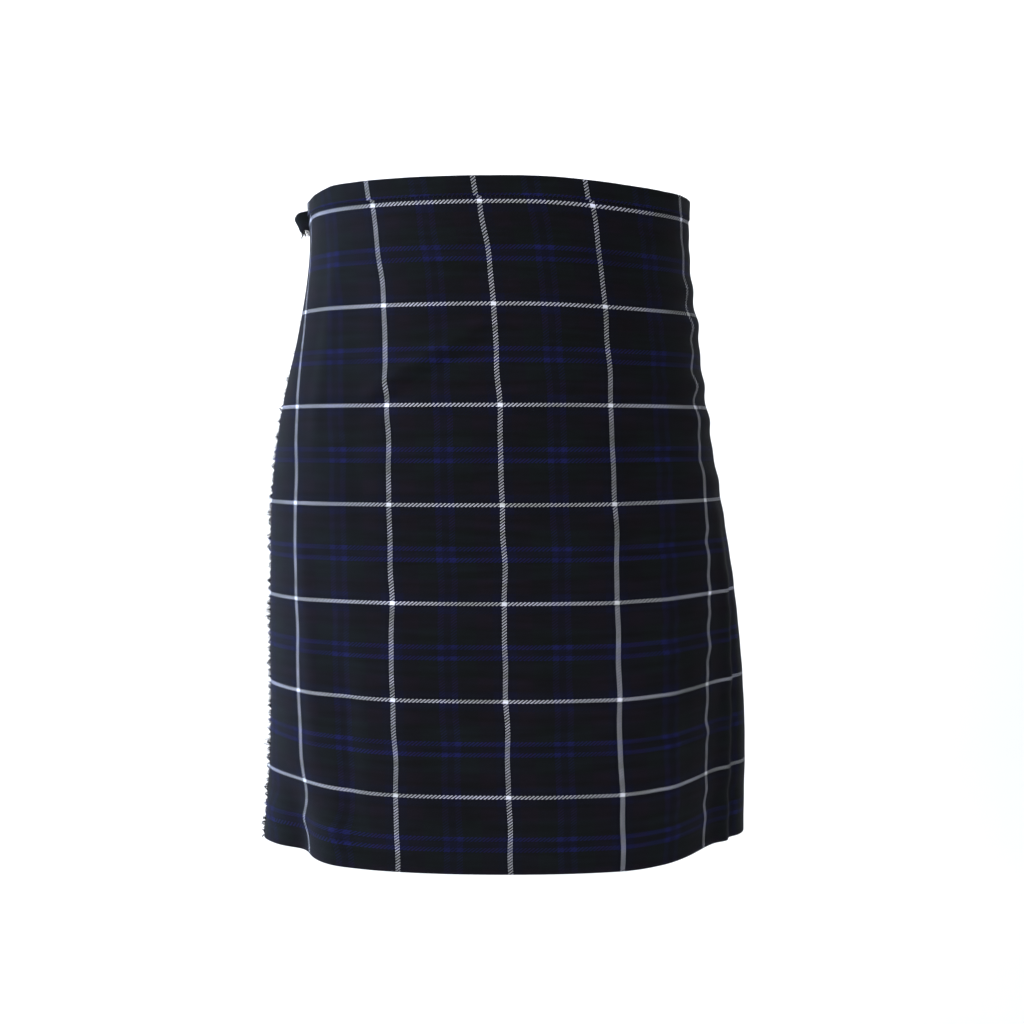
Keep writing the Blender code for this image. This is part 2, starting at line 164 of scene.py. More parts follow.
class Levels:
    """The form's outlines at a column of drops. Angles and lengths are per drop, so they are columns."""

    def __init__(self, drops):
        self.drops = np.atleast_1d(np.array(drops, dtype=float))
        self.col = self.drops[:, None]
        _, wide, front, back, shift, square = (c[:, None] for c in smooth_table(FORM, self.drops))
        turn = np.radians(DEGREES)[None, :]
        side = np.sign(np.sin(turn)) * np.abs(np.sin(turn)) ** (2.0 / square)
        ahead = np.sign(np.cos(turn)) * np.abs(np.cos(turn)) ** (2.0 / square)
        self.x = shift + wide * side
        self.y = -np.where(ahead > 0, front, back) * ahead
        step = np.hypot(np.diff(self.x, axis=1), np.diff(self.y, axis=1))
        self.along = np.concatenate([np.zeros_like(shift), np.cumsum(step, axis=1)], axis=1)
        self.along -= self.at_degrees(0.0)
        out_x, out_y = np.gradient(self.y, axis=1), -np.gradient(self.x, axis=1)
        size = np.hypot(out_x, out_y)
        self.out_x, self.out_y = out_x / size, out_y / size

    def at_degrees(self, degrees):
        """Lengths from the front to an angle, one for each drop."""
        degrees = np.broadcast_to(degrees, self.drops.shape)
        return np.array([np.interp(d, DEGREES, row) for d, row in zip(degrees, self.along)])[:, None]

    def place(self, along, offset, drop=None):
        """Points at lengths along the outlines, moved out by offset and set at a drop."""
        shape = np.broadcast_shapes(np.shape(along), np.shape(offset), self.col.shape)
        along, offset = np.broadcast_to(along, shape), np.broadcast_to(offset, shape)
        read = [
            [np.interp(a, s, values) for a, s, values in zip(along, self.along, column)]
            for column in (self.x, self.y, self.out_x, self.out_y)
        ]
        x, y, out_x, out_y = (np.array(c) for c in read)
        size = np.hypot(out_x, out_y)
        drop = np.broadcast_to(self.col if drop is None else drop, shape)
        z = TOP - hung(x, drop)
        return np.stack([x + out_x / size * offset, y + out_y / size * offset, z], axis=-1)

    def edge(self):
        return self.at_degrees(smooth_table(EDGE, self.drops)[1])

    def fold(self):
        return self.at_degrees(LEFT_HIP)

    def reveal(self):
        return (self.at_degrees(RIGHT_HIP) - self.fold()) / PLEATS

    def layer(self):
        return LAYER_WAIST + (LAYER_HEM - LAYER_WAIST) * ramp(self.col, STITCHED_TO, LENGTH)

    def stack(self):
        return 2 * self.layer() * (FOLD_STEPS + 1)

    def pleat_base(self, along):
        return -UNDER_APRON_ROOM * ramp(along, self.at_degrees(190.0), self.at_degrees(245.0))


# %% [markdown]
# ## Helpers for sheets
#
# A sheet is a grid of points with a UV map in metres of cloth: U across, V down from the topmost white line.
# The map tells the material which yarns cross at each place. The weft is spread a little unevenly: its
# repeats are longer near the waist than at the hem.

# %% Sheets
WARP_REPEAT, WEFT_REPEAT = 0.1000, 0.0880
FIRST_WHITE = 0.023  # drop of the topmost white line
REPEATS_A_METRE, CLOSING = 11.09, 0.82
COLLECTION = bpy.data.collections.new("kilt_looks")
bpy.context.scene.collection.children.link(COLLECTION)


def link(name, data):
    thing = bpy.data.objects.new(name, data)
    COLLECTION.objects.link(thing)
    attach(thing, "root")
    return thing


def grid_faces(tall, wide):
    corner = np.arange(tall * wide).reshape(tall, wide)
    corners = [corner[:-1, :-1], corner[1:, :-1], corner[1:, 1:], corner[:-1, 1:]]
    return np.stack(corners, axis=-1).reshape(-1, 4)


def mesh_from(name, points, faces, uv=None):
    """A mesh from arrays. uv has a row for each point."""
    mesh = bpy.data.meshes.new(name)
    sides = faces.shape[1]
    mesh.vertices.add(len(points))
    mesh.vertices.foreach_set("co", points.astype(np.float32).ravel())
    mesh.loops.add(faces.size)
    mesh.loops.foreach_set("vertex_index", faces.astype(np.int32).ravel())
    mesh.polygons.add(len(faces))
    mesh.polygons.foreach_set("loop_start", np.arange(0, faces.size, sides, dtype=np.int32))
    mesh.update(calc_edges=True)
    if uv is not None:
        layer = mesh.uv_layers.new(name="weave")
        layer.data.foreach_set("uv", uv[faces.ravel()].astype(np.float32).ravel())
    mesh.validate()
    mesh.shade_smooth()
    return mesh


def cloth_v(drop):
    """Cloth down from the topmost white line: repeats = a x + b x squared, for a length x below it."""
    below = drop - FIRST_WHITE
    return WEFT_REPEAT * (REPEATS_A_METRE * below + CLOSING * below * np.abs(below))


def sheet(name, points, u, v, material, thick=CLOTH, even=True):
    """A thin closed shell on a grid of points. Its faces point out of the kilt."""
    tall, wide, _ = points.shape
    u, v = np.broadcast_to(u, (tall, wide)), np.broadcast_to(v, (tall, wide))
    uv = np.stack([u, v], axis=-1).reshape(-1, 2)
    mesh = mesh_from(name, points.reshape(-1, 3), grid_faces(tall, wide), uv)
    mesh.materials.append(material)
    thing = link(name, mesh)
    wall = thing.modifiers.new("Thickness", "SOLIDIFY")
    wall.thickness = thick
    wall.offset = 0.0
    wall.use_even_offset = even
    print(name, f"{tall} x {wide} points")
    return thing


# %% [markdown]
# ## The tartan
#
# The sett is a mirror repeat: counted out from the middle of each white line it goes white, navy, black,
# dark green, blue, navy, and back again. In the map the warp repeats every 100 mm and the weft every 88 mm.
# The material finds the number of the warp yarn and of the weft yarn at a place, gives each yarn its colour
# from the sett, and lets one or the other lie on top by the 2/2 twill rule, which steps one yarn each row
# and so draws diagonal lines. The weft is set closer than the warp, and its blue is clearer. Each float is a
# rounded patch. Around and between the floats, the darker of the two yarns is painted in as shade.

# %% The tartan's material
WARP_YARN, WEFT_YARN = WARP_REPEAT / 112, WEFT_REPEAT / 132
SETT_COLUMNS = ("weft", "warp", "width")  # width is a share of half a repeat
SETT = (
    ("white", "white", 0.042),
    ("navy", "navy", 0.168),
    ("black", "black", 0.290),
    ("green", "green", 0.335),
    ("blue", "dull_blue", 0.095),
    ("navy", "navy", 0.070),
)
DYES = {
    "white": (0.70, 0.71, 0.77),
    "navy": (0.0026, 0.0031, 0.0120),
    "green": (0.0026, 0.0041, 0.0048),
    "black": (0.0042, 0.0029, 0.0056),
    "blue": (0.0070, 0.0090, 0.0740),
    "dull_blue": (0.0052, 0.0064, 0.0370),
}


class Graph:
    """Shader nodes with short names for what this material does over and over."""

    def __init__(self, name):
        self.material = bpy.data.materials.new(name)
        self.material.use_nodes = True
        self.tree = self.material.node_tree
        self.shader = self.tree.nodes["Principled BSDF"]

    def node(self, kind, **values):
        node = self.tree.nodes.new(kind)
        for key, value in values.items():
            setattr(node, key, value)
        return node

    def plug(self, socket, value):
        if isinstance(value, bpy.types.NodeSocket):
            self.tree.links.new(value, socket)
        else:
            socket.default_value = value

    def math(self, operation, *values, clamp=False):
        node = self.node("ShaderNodeMath", operation=operation, use_clamp=clamp)
        for socket, value in zip(node.inputs, values):
            self.plug(socket, value)
        return node.outputs[0]

    def mix(self, share, a, b, blend="MIX"):
        node = self.node("ShaderNodeMix", data_type="RGBA", blend_type=blend)
        for name, value in (("Factor_Float", share), ("A_Color", a), ("B_Color", b)):
            self.plug(next(s for s in node.inputs if s.identifier == name), value)
        return next(s for s in node.outputs if s.identifier == "Result_Color")

    def noise(self, where, scale, detail=2.0):
        node = self.node("ShaderNodeTexNoise")
        self.plug(node.inputs["Vector"], where)
        node.inputs["Scale"].default_value = scale
        node.inputs["Detail"].default_value = detail
        return node.outputs["Fac"]

    def ramp(self, value, stops, interpolation="CONSTANT"):
        node = self.node("ShaderNodeValToRGB")
        node.color_ramp.interpolation = interpolation
        while len(node.color_ramp.elements) < len(stops):
            node.color_ramp.elements.new(1.0)
        for element, (at, colour) in zip(node.color_ramp.elements, stops):
            element.position = at
            element.color = (*colour, 1.0)
        self.plug(node.inputs["Fac"], value)
        return node.outputs["Color"]


def sett_stops(column):
    stops, at = [], 0.0
    for row in SETT:
        stops.append((at, DYES[row[SETT_COLUMNS.index(column)]]))
        at += row[-1]
    return stops


def yarn(graph, coordinate, column, pitch, repeat):
    """One set of yarns: the number of the yarn at a coordinate, the place across it, and its colour."""
    count = graph.math("ADD", graph.math("DIVIDE", coordinate, pitch), 0.5)
    number = graph.math("FLOOR", count)
    across = graph.math("FRACT", count)
    middle = graph.math("MULTIPLY", number, pitch)
    sett = graph.math("DIVIDE", graph.math("PINGPONG", middle, repeat / 2), repeat / 2)
    colour = graph.ramp(sett, sett_stops(column))
    return number, across, colour


WARP_COVER, WEFT_COVER = 0.27, 0.36  # half the width of a float, as a share of the yarns' pitch


def float_round(graph, place, across, cover):
    """Height of a float over two yarns: 1 - e squared of the ellipse that it fills, and 0 outside."""
    long = graph.math("MULTIPLY", graph.math("SUBTRACT", place, 1.0), 0.92)
    wide = graph.math("DIVIDE", graph.math("SUBTRACT", across, 0.5), cover)
    square = graph.math("ADD", graph.math("MULTIPLY", long, long), graph.math("MULTIPLY", wide, wide))
    return graph.math("SUBTRACT", 1.0, square, clamp=True)


def tartan_material():
    graph = Graph("tartan_twill")
    uv = graph.node("ShaderNodeUVMap", uv_map="weave").outputs["UV"]
    parts = graph.node("ShaderNodeSeparateXYZ")
    graph.plug(parts.inputs[0], uv)
    warp, across_warp, warp_colour = yarn(graph, parts.outputs["X"], "warp", WARP_YARN, WARP_REPEAT)
    weft, across_weft, weft_colour = yarn(graph, parts.outputs["Y"], "weft", WEFT_YARN, WEFT_REPEAT)
    fours = graph.math("DIVIDE", graph.math("ADD", warp, weft), 4.0)
    step = graph.math("MULTIPLY", graph.math("FRACT", fours), 4.0)
    warp_up = graph.math("LESS_THAN", step, 1.5)
    warp_float = float_round(graph, graph.math("ADD", step, across_weft), across_warp, WARP_COVER)
    weft_place = graph.math("ADD", graph.math("SUBTRACT", step, 2.0), across_warp)
    weft_float = float_round(graph, weft_place, across_weft, WEFT_COVER)
    rounded = graph.mix(warp_up, weft_float, warp_float)
    on_top = graph.mix(warp_up, weft_colour, warp_colour)
    # Painted shade: outside each float's ellipse the darker of the two crossing yarns shows, and the float's
    # edges fade into it. A crossing yarn is really seen there. Always taking the darker one paints the shade
    # between floats.
    gap_painted_shade = graph.mix(1.0, warp_colour, weft_colour, "DARKEN")
    float_over_gap_shade = graph.ramp(rounded, ((0.0, (0, 0, 0)), (0.30, (1, 1, 1))), "LINEAR")
    colour = graph.mix(float_over_gap_shade, gap_painted_shade, on_top)
    where = graph.node("ShaderNodeTexCoord").outputs["Object"]
    patch = graph.noise(where, 9.0, 3.0)
    faded = graph.ramp(patch, ((0.30, (0.85, 0.86, 0.88)), (0.72, (1.14, 1.14, 1.16))), "LINEAR")
    stretched = graph.node("ShaderNodeMapping")
    stretched.inputs["Scale"].default_value = (14.0, 150.0, 1.0)
    graph.plug(stretched.inputs["Vector"], uv)
    streak = graph.noise(stretched.outputs["Vector"], 1.0, 3.0)
    streaked = graph.ramp(streak, ((0.34, (0.72, 0.74, 0.66)), (0.68, (1.24, 1.24, 1.36))), "LINEAR")
    colour = graph.mix(1.0, graph.mix(1.0, colour, faded, "MULTIPLY"), streaked, "MULTIPLY")
    graph.plug(graph.shader.inputs["Base Color"], colour)
    relief = graph.node("ShaderNodeBump")
    relief.inputs["Strength"].default_value = 0.35
    relief.inputs["Distance"].default_value = 0.0003
    graph.plug(relief.inputs["Height"], rounded)
    graph.plug(graph.shader.inputs["Normal"], relief.outputs["Normal"])
    graph.shader.inputs["Roughness"].default_value = 0.85
    graph.shader.inputs["Specular IOR Level"].default_value = 0.105
    graph.shader.inputs["Sheen Weight"].default_value = 0.025
    graph.shader.inputs["Sheen Roughness"].default_value = 0.45
    graph.shader.inputs["Sheen Tint"].default_value = (0.75, 0.85, 1.0, 1.0)
    return graph.material


def fringe_material():
    graph = Graph("fringe_yarn")
    uv = graph.node("ShaderNodeUVMap", uv_map="weave").outputs["UV"]
    parts = graph.node("ShaderNodeSeparateXYZ")
    graph.plug(parts.inputs[0], uv)
    colour = yarn(graph, parts.outputs["Y"], "weft", WEFT_YARN, WEFT_REPEAT)[2]
    graph.plug(graph.shader.inputs["Base Color"], colour)
    graph.shader.inputs["Roughness"].default_value = 0.95
    graph.shader.inputs["Specular IOR Level"].default_value = 0.10
    return graph.material


TARTAN = tartan_material()
YARN = fringe_material()
print("tartan charted:", len(SETT), "stripes in half a repeat")

# %% [markdown]
# ## The outer apron
#
# The apron is cut straight along the grain and hangs a little askew, so the white line nearest the middle
# leans. One table gives where it lies. Another gives the folds: ridges, and troughs where the height is
# negative. The cloth is eased over the hips, and there a ripple of irregular waves runs down the side.

# %% The outer apron's folds and grain
GRAIN_COLUMNS = ("drop", "middle_line")
GRAIN = (
    (0.000, -0.0200),
    (0.022, -0.0166),
    (0.110, -0.0050),
    (0.200, 0.0000),
    (0.288, 0.0030),
    (0.375, 0.0050),
    (0.460, 0.0060),
    (0.543, 0.0090),
    (0.612, 0.0100),
)
CORNER_SAG, CORNER_WIDE = 0.0065, 0.020  # the weft runs down to the free corner by this, over this width
EASE_COLUMNS = ("drop", "left", "right")  # the outer repeats' width as a share of a full one
EASE = (
    (0.000, 1.08, 1.08),
    (0.110, 1.08, 1.06),
    (0.250, 1.02, 1.02),
    (0.375, 1.00, 1.01),
    (0.480, 0.98, 0.98),
    (0.612, 0.97, 0.95),
)
FOLD_COLUMNS = ("degrees_top", "degrees_hem", "starts", "full", "height", "half_width")
FOLDS = (
    (68.0, 62.0, 0.260, 0.580, -0.0140, 0.044),
    (73.0, 70.0, 0.250, 0.400, 0.0036, 0.009),
    (78.0, 76.0, 0.300, 0.460, -0.0028, 0.008),
    (93.0, 93.0, 0.240, 0.560, 0.0045, 0.032),
    (-60.0, -60.0, 0.520, 0.610, -0.0130, 0.021),
    (-42.0, -42.0, 0.520, 0.610, 0.0040, 0.022),
)
CREASE_COLUMNS = ("from_along", "from_drop", "to_along", "to_drop", "height", "half_width")
CREASES = (
    (-0.005, 0.130, -0.112, 0.190, 0.0046, 0.009),
    (-0.015, 0.152, -0.120, 0.207, -0.0034, 0.010),
    (-0.160, 0.050, -0.172, 0.250, 0.0014, 0.010),
    (-0.135, 0.060, -0.120, 0.330, -0.0012, 0.014),
    (-0.100, 0.330, -0.085, 0.560, 0.0011, 0.016),
    (-0.190, 0.300, -0.180, 0.540, 0.0024, 0.012),
    (-0.150, 0.420, -0.140, 0.600, -0.0022, 0.012),
    (0.060, 0.070, 0.120, 0.145, 0.0010, 0.010),
    (0.020, 0.410, 0.040, 0.600, 0.0012, 0.020),
    (0.130, 0.180, 0.118, 0.430, -0.0020, 0.014),
    (0.148, 0.330, 0.150, 0.600, 0.0024, 0.010),
)
WAVE_COLUMNS = ("wavelength", "height", "phase")
GRAIN_WANDER = ((0.047, 0.00025, 0.0), (0.071, 0.00035, 2.2), (0.130, 0.00050, 4.0))
HIP_RIPPLE = ((0.031, 0.0015, 0.4), (0.047, 0.0011, 2.1), (0.083, 0.0008, 4.0))
HIP_RIPPLE_DEGREES, HIP_RIPPLE_WIDE = 74.0, 0.030
SEAM_RIPPLE = ((0.027, 0.60, 0.4), (0.041, 0.50, 2.1), (0.019, 0.25, 1.0))
DRAWN_IN = 0.0018  # how unevenly the warp is drawn in at the left hip, at the ripple's height of 1
BEND_COLUMNS = ("drop", "half_width", "shift")
BENDS = ((0.583, 0.012, 0.0085), (0.556, 0.014, -0.0030))  # the warp's bend at the hem's trough


def folds(levels, along):
    """Height of the apron's folds: each a soft hill across, grown in down the cloth."""
    lift = np.zeros(np.broadcast_shapes(np.shape(along), levels.col.shape))
    for top, hem, starts, full, height, half_width in FOLDS:
        centre = levels.at_degrees(top + (hem - top) * levels.drops / LENGTH)
        lift = lift + height * ramp(levels.col, starts, full) * bump(along, centre, half_width)
    return lift


def waves(length, table):
    """A sum of sines, so that no two waves are alike."""
    return sum(h * np.sin(2 * np.pi * length / w + p) for w, h, p in table)


def creases(levels, along):
    """Soft creases: hills across the line from one end to the other, fading out at both ends."""
    lift = 0.0
    for along_0, drop_0, along_1, drop_1, height, half_width in CREASES:
        long_a, long_d = along_1 - along_0, drop_1 - drop_0
        size = math.hypot(long_a, long_d)
        run = ((along - along_0) * long_a + (levels.col - drop_0) * long_d) / size**2
        off = ((along - along_0) * long_d - (levels.col - drop_0) * long_a) / size
        fade = ramp(run, -0.15, 0.25) * (1.0 - ramp(run, 0.75, 1.15))
        lift = lift + height * fade * bump(off, 0.0, half_width)
    return lift


def apron_offset(levels, along):
    """The outer apron's lift off the form."""
    stand_off = smooth_table(EDGE, levels.drops)[2][:, None]
    lift = folds(levels, along) + creases(levels, along) + stand_off * bump(along, levels.edge(), EDGE_CURL)
    hip = bump(along, levels.at_degrees(HIP_RIPPLE_DEGREES), HIP_RIPPLE_WIDE) * ramp(levels.col, 0.020, 0.05)
    fade = 1.0 - 0.70 * ramp(levels.col, 0.20, 0.34)
    return lift + hip * fade * waves(levels.col + 0.05 * along, HIP_RIPPLE)


def cloth_u(levels, along):
    """Cloth across, from the middle white line: eased in the outer repeats, and wandering a little."""
    middle = smooth_table(GRAIN, levels.drops)[1][:, None] - smooth_table(FORM, levels.drops)[4][:, None]
    middle = middle + waves(levels.col + 0.3 * along, GRAIN_WANDER)
    _, left, right = (c[:, None] for c in smooth_table(EASE, levels.drops))
    u = along - middle
    beyond = np.clip(np.abs(u) - WARP_REPEAT, 0.0, None)
    share = np.where(u < 0, left, right)
    drawn = DRAWN_IN * ramp(u, 1.1 * WARP_REPEAT, 1.7 * WARP_REPEAT) * waves(levels.col, SEAM_RIPPLE)
    bent = sum(shift * bump(levels.col, drop, half_width) for drop, half_width, shift in BENDS)
    bent = bent * ramp(-u, 1.2 * WARP_REPEAT, 1.7 * WARP_REPEAT)
    return np.sign(u) * (np.minimum(np.abs(u), WARP_REPEAT) + beyond / share) + drawn + bent


def half_turn(steps):
    """Steps round a fold, as (back from the fold, depth) in layers: 0 to 1 deep, bulging to 0 back."""
    turn = np.linspace(-np.pi / 2, np.pi / 2, steps)
    back = 0.5 - 0.5 * np.cos(turn)
    return back, 0.5 + 0.5 * np.sin(turn)


# %% The outer apron
CLOTH_TOP = 0.0012  # drop of every piece's upper edge, inside the band
APRON_ROWS, APRON_COLUMNS = 204, 176


def outer_apron():
    levels = Levels(np.linspace(CLOTH_TOP, LENGTH, APRON_ROWS))
    edge, fold, reveal, layer = levels.edge(), levels.fold(), levels.reveal(), levels.layer()
    face = edge + (fold - layer / 2 - edge) * np.linspace(0, 1, APRON_COLUMNS)[None, :]
    offset = apron_offset(levels, face)
    back, deep = half_turn(5)
    turn = fold - layer * back[None, 1:]
    turn_offset = -layer * deep[None, 1:]
    under = fold - layer / 2 - (FOLD_STEPS * reveal - layer / 2) * np.linspace(0, 1, 12)[None, 1:]
    under_sink = -(2 * layer * (fold - under) / reveal + layer)
    along = np.concatenate([face, turn, under], axis=1)
    offset = np.concatenate([offset, turn_offset, under_sink], axis=1)
    u_face = cloth_u(levels, face)
    u_fold = u_face[:, -1:]
    u_turn = u_fold + layer * np.linspace(0, 1.5, 5)[None, 1:]
    u_under = u_turn[:, -1:] + (fold - layer / 2 - under)
    u = np.concatenate([u_face, u_turn, u_under], axis=1)
    sag = CORNER_SAG * bump(along, edge, CORNER_WIDE) * (1.0 - ramp(levels.col, 0.030, 0.110))
    apron = sheet("outer_apron_cloth", levels.place(along, offset), u, cloth_v(levels.col - sag), TARTAN)
    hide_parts("outer_apron")
    return apron


apron = outer_apron()

# %% [markdown]
# ## The fringe
#
# The apron's free edge is frayed: the warp is pulled away and the weft yarns are left, each in the colour of
# its own row. Their ends cling together in small clumps, some longer or turned further out than others.

# %% The fringe
CLUMP = (0.0045, 0.0095)  # the least and the greatest width of a clump
CLUMP_LONG, CLUMP_OUT = (0.0034, 0.0058), (0.35, 1.05)  # its length, and how far it turns out
FRINGE_TOP, FRINGE_ROOT, FRINGE_AIM = 0.020, 0.0012, 0.0030  # root inside the edge, aim outside it
FRINGE_YARN = 0.00046  # radius


def yarns(name, roots, ways, bends, radius, v, material, steps=5):
    """Many short yarns as three-sided tubes, each from its root along its way and bent by a curve."""
    count = len(roots)
    t = np.linspace(0, 1, steps)[None, :, None]
    spine = roots[:, None] + ways[:, None] * t + bends[:, None] * t * t
    along = ways[:, None] + 2 * bends[:, None] * t
    along /= np.linalg.norm(along, axis=-1, keepdims=True)
    up = np.array([0.0, 0.0, 1.0])
    side = np.cross(along, up)
    side /= np.linalg.norm(side, axis=-1, keepdims=True)
    other = np.cross(side, along)
    taper = radius * (1.0 - 0.35 * t)
    turn = np.radians([90, 210, 330])
    ring = [side * math.cos(a) * taper + other * math.sin(a) * taper for a in turn]
    points = spine[:, :, None] + np.stack(ring, axis=2)
    n = np.arange(count)[:, None, None] * steps * 3
    s, k = np.arange(steps - 1)[None, :, None], np.arange(3)[None, None, :]
    a, b = n + s * 3 + k, n + s * 3 + (k + 1) % 3
    walls = np.stack([a, a + 3, b + 3, b], axis=-1).reshape(-1, 4)
    points = points.reshape(-1, 3)
    first = np.arange(count) * steps * 3
    ends = np.concatenate([
        np.stack([first, first + 1, first + 2], axis=-1),
        np.stack([first + steps * 3 - 1, first + steps * 3 - 2, first + steps * 3 - 3], axis=-1),
    ])
    uv_v = np.repeat(v, steps * 3)
    uv = np.stack([np.zeros_like(uv_v), cloth_v(uv_v)], axis=-1)
    mesh = bpy.data.meshes.new(name)
    mesh.from_pydata(points.tolist(), [], walls.tolist() + ends.tolist())
    layer = mesh.uv_layers.new(name="weave")
    index = np.empty(len(mesh.loops), dtype=np.int32)
    mesh.loops.foreach_get("vertex_index", index)
    layer.data.foreach_set("uv", uv[index].astype(np.float32).ravel())
    mesh.shade_smooth()
    mesh.materials.append(material)
    print(name, count, "yarns")
    return link(name, mesh)


def fringe():
    random = np.random.default_rng(11)
    drops = np.arange(FRINGE_TOP, LENGTH - 0.0005, WEFT_YARN)
    drops = drops + random.normal(0, 0.0001, len(drops))
    levels = Levels(drops)
    edge = levels.edge()
    inner = levels.place(edge + FRINGE_ROOT, apron_offset(levels, edge + FRINGE_ROOT))[:, 0]
    outer = levels.place(edge - FRINGE_AIM, apron_offset(levels, edge - FRINGE_AIM))[:, 0]
    way = outer - inner
    way /= np.linalg.norm(way, axis=-1, keepdims=True)
    clump_ends = np.cumsum(random.uniform(*CLUMP, int(LENGTH / CLUMP[0])))
    clump = np.searchsorted(clump_ends, drops)
    middle_of = clump_ends - np.diff(clump_ends, prepend=0.0) / 2
    long = random.uniform(*CLUMP_LONG, len(clump_ends))[clump]
    reach = (long + 0.0005 * random.normal(size=len(drops))).clip(0.0018, 0.0070)[:, None]
    out = np.stack([-way[:, 1], way[:, 0], 0 * way[:, 0]], axis=-1)
    way = way + random.uniform(*CLUMP_OUT, len(clump_ends))[clump][:, None] * out
    way /= np.linalg.norm(way, axis=-1, keepdims=True)
    gather = np.zeros((len(drops), 3))
    gather[:, 2] = 0.60 * (drops - middle_of[clump]) - 0.10 * reach[:, 0]
    splay = random.normal(0, 0.10, (len(drops), 3)) * reach
    bends = random.normal(0, 0.12, (len(drops), 3)) * reach + gather
    tufts = yarns("fringe_yarns", inner, way * reach + splay, bends, FRINGE_YARN, drops, YARN)
    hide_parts("apron_fringe")
    return tufts


tufts = fringe()

# %% [markdown]
# ## The pleats
#
# Each knife pleat is a face that runs out to a pressed edge, a turn, and a return that runs back under it to
# the inner turn, where the next face starts. The map of each face starts one shown width further on, so that
# the sett still reads across the back. Below the stitched part each edge lifts a little by its own amount.

# %% The pleats
VISIBLE_CLOTH = 0.025  # the part of each pleat's cloth that shows
FIRST_PLEAT_CLOTH = 0.27  # where in the warp's map the pleats start
PLEAT_LIFTS = (0.0004, 0.0022)
PLEAT_CLOTH = 0.0009


def one_pleat(levels, edge, lift):
    """Along, depth and cloth from the pleat's inner start to the next inner turn."""
    reveal, layer = levels.reveal(), levels.layer()
    hidden = np.linspace(3.0, 1.15, 5)[None, :] * reveal
    shown = np.linspace(1.0, 0.06, 8)[None, :] * reveal
    down = np.concatenate([hidden, shown], axis=1)
    back, deep = half_turn(5)
    turn = layer * back[None, :]
    up = np.concatenate([shown[:, ::-1], np.linspace(1.2, 1.97, 4)[None, :] * reveal], axis=1)
    inner_back = 2 * reveal - layer * back[None, 1:-1]
    q = np.concatenate([down, turn, up, inner_back], axis=1)
    slope = 2 * layer / reveal
    depth = np.concatenate([
        slope * down,
        layer * deep[None, :] + slope * turn,
        slope * up + layer,
        5 * layer + layer * deep[None, 1:-1],
    ], axis=1)
    raised = lift * np.clip(1 - q / reveal, 0, 1) ** 2
    cloth = np.concatenate([-down, 0 * turn, up, 2 * reveal + 0 * inner_back], axis=1)
    return edge - q, -depth + raised, cloth


def pleats(group, name):
    levels = Levels(np.linspace(CLOTH_TOP, LENGTH, 84))
    random = np.random.default_rng(20 + group)
    lifts = random.uniform(*PLEAT_LIFTS, GROUP_PLEATS)
    along, offset, u = [], [], []
    for k in range(GROUP_PLEATS):
        pleat = group * GROUP_PLEATS + k + 1
        edge = levels.fold() + pleat * levels.reveal()
        lift = lifts[k] * ramp(levels.col, 0.20, LENGTH)
        a, d, c = one_pleat(levels, edge, lift)
        along.append(a)
        offset.append(d)
        u.append(c + pleat * VISIBLE_CLOTH)
    along, offset, u = (np.concatenate(x, axis=1) for x in (along, offset, u))
    points = levels.place(along, levels.pleat_base(along) + offset)
    u, v = u + FIRST_PLEAT_CLOTH, cloth_v(levels.col)
    piece = sheet("pleats_" + name + "_cloth", points, u, v, TARTAN, thick=PLEAT_CLOTH)
    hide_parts("pleats_" + name)
    return piece


pleat_sheets = [pleats(group, name) for group, name in enumerate(GROUPS)]

# %% The under apron
BEHIND_APRON, BEHIND_PLEATS = 0.0062, 0.0066
FOLLOWS_FOLDS = 1.25  # it sinks this much of the outer apron's troughs


def under_offset(levels, along):
    """Depth of the under apron: out from the last pleat, behind the outer apron, and behind the hip."""
    last, reveal, layer = levels.at_degrees(RIGHT_HIP), levels.reveal(), levels.layer()
    tucked = levels.pleat_base(along) - 2 * layer * (last + reveal - along) / reveal
    leaving = levels.pleat_base(last) - 2 * layer
    front, inside = -BEHIND_APRON, -(levels.stack() + BEHIND_PLEATS)
    run = leaving + (front - leaving) * ramp(along, last, last + 0.06)
    run = run + (inside - front) * ramp(along, levels.at_degrees(396.0), levels.at_degrees(416.0))
    run = run + np.minimum(folds(levels, along - levels.at_degrees(360.0)), 0.0) * FOLLOWS_FOLDS
    return np.where(along <= last, tucked, run)


def under_apron():
    levels = Levels(np.linspace(CLOTH_TOP, LENGTH, 110))
    start = levels.at_degrees(RIGHT_HIP) - FOLD_STEPS * levels.reveal()
    along = start + (levels.at_degrees(INNER_END) - start) * np.linspace(0, 1, 130)[None, :]
    points = levels.place(along, under_offset(levels, along))
    u = along - levels.at_degrees(360.0)
    piece = sheet("under_apron_cloth", points, u, cloth_v(levels.col), TARTAN)
    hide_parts("under_apron")
    return piece


inner = under_apron()

# %% [markdown]
# ## The waistband
#
# A strip folded over the top edge, in three lengths. Across, it follows the cloth that it holds. Up and
# over, it is a flat face, a rounded rim, and a flat face inside.

# %% The waistband
BAND_HEIGHT = 0.018
BAND_GAP, BAND_OVER = 0.0015, 0.0016  # between two lengths of it, and how far one runs past a fold
BAND_PUCKER, PUCKERS = 0.00025, ((0.043, 1, 0), (0.017, 0.6, 1))
LAP = 0.0013  # from the cloth to the band's face
RIM = 0.0018  # radius of the rim's two corners
BAND_SHIFT = -0.0015  # the band's white lines against the apron's
BAND_LEAN = 0.0030  # and how far they lean over the band's height
BAND_START = 0.039  # where in the weft's repeat the strip is cut


